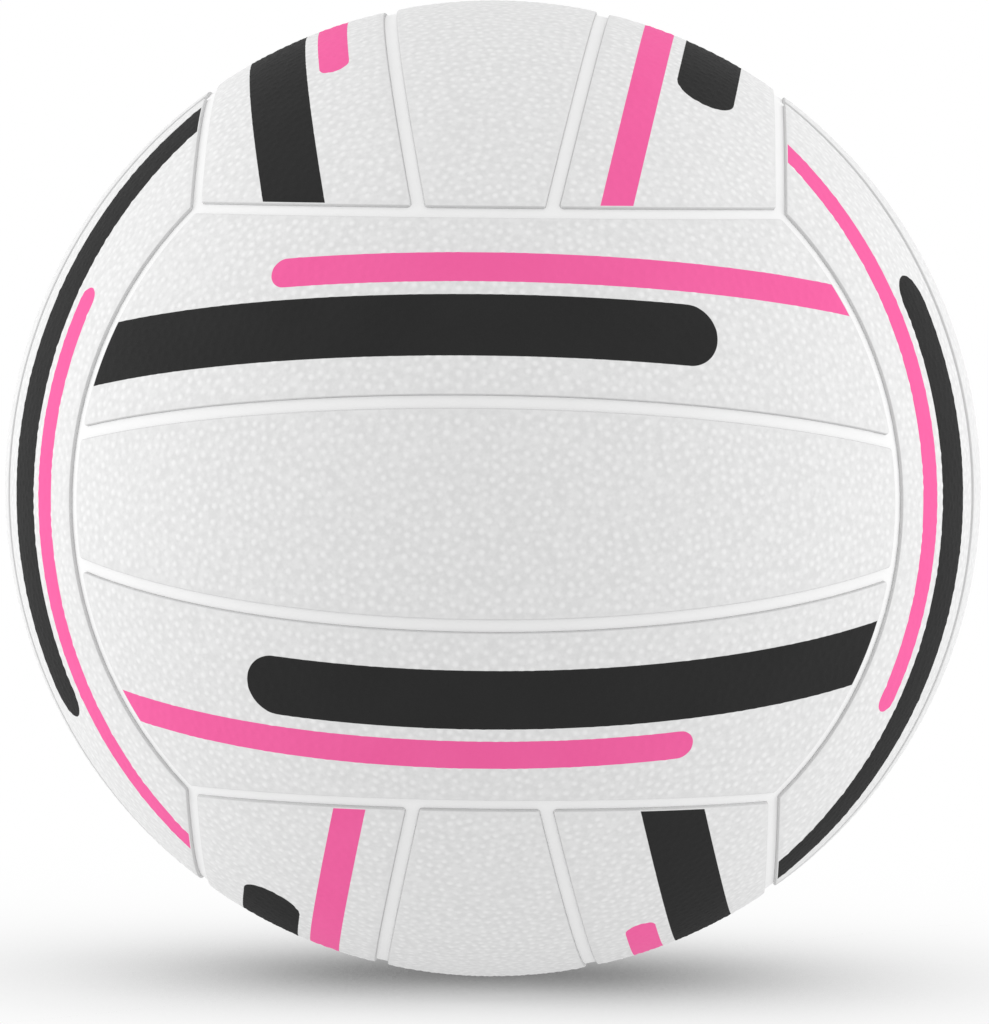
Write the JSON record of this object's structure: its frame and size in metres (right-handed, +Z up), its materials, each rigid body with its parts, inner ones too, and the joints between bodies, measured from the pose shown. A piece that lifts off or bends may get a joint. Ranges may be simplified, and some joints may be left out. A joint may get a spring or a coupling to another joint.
{
  "type": "netball",
  "caption": "White netball with raised pebbled rubber panels, smooth recessed seams, striped print, a carcass, a yarn winding, a bladder and a needle valve.",
  "frame": {"origin": "centre of the ball", "axes": "+Z up, +Y out through the valve; the front of the ball faces -Y and its strips run along X"},
  "size_m": [0.2228, 0.2227, 0.2228],
  "materials": {
    "panel_rubber": "matte",
    "carcass_rubber": "satin",
    "nylon_yarn": "matte",
    "bladder_rubber": "satin",
    "boot_rubber": "satin",
    "core_rubber": "satin"
  },
  "bodies": {
    "root": {"front_lower_panel": "panel_rubber", "front_centre_panel": "panel_rubber", "front_upper_panel": "panel_rubber", "back_lower_panel": "panel_rubber", "back_centre_panel": "panel_rubber", "back_upper_panel": "panel_rubber", "right_front_panel": "panel_rubber", "right_centre_panel": "panel_rubber", "right_rear_panel": "panel_rubber", "left_front_panel": "panel_rubber", "left_centre_panel": "panel_rubber", "left_rear_panel": "panel_rubber", "top_left_panel": "panel_rubber", "top_centre_panel": "panel_rubber", "top_right_panel": "panel_rubber", "bottom_left_panel": "panel_rubber", "bottom_centre_panel": "panel_rubber", "bottom_right_panel": "panel_rubber", "carcass": "carcass_rubber", "winding": "nylon_yarn", "bladder": "bladder_rubber", "valve_boot": "boot_rubber", "valve_core": "core_rubber"}
  },
  "joints": []
}
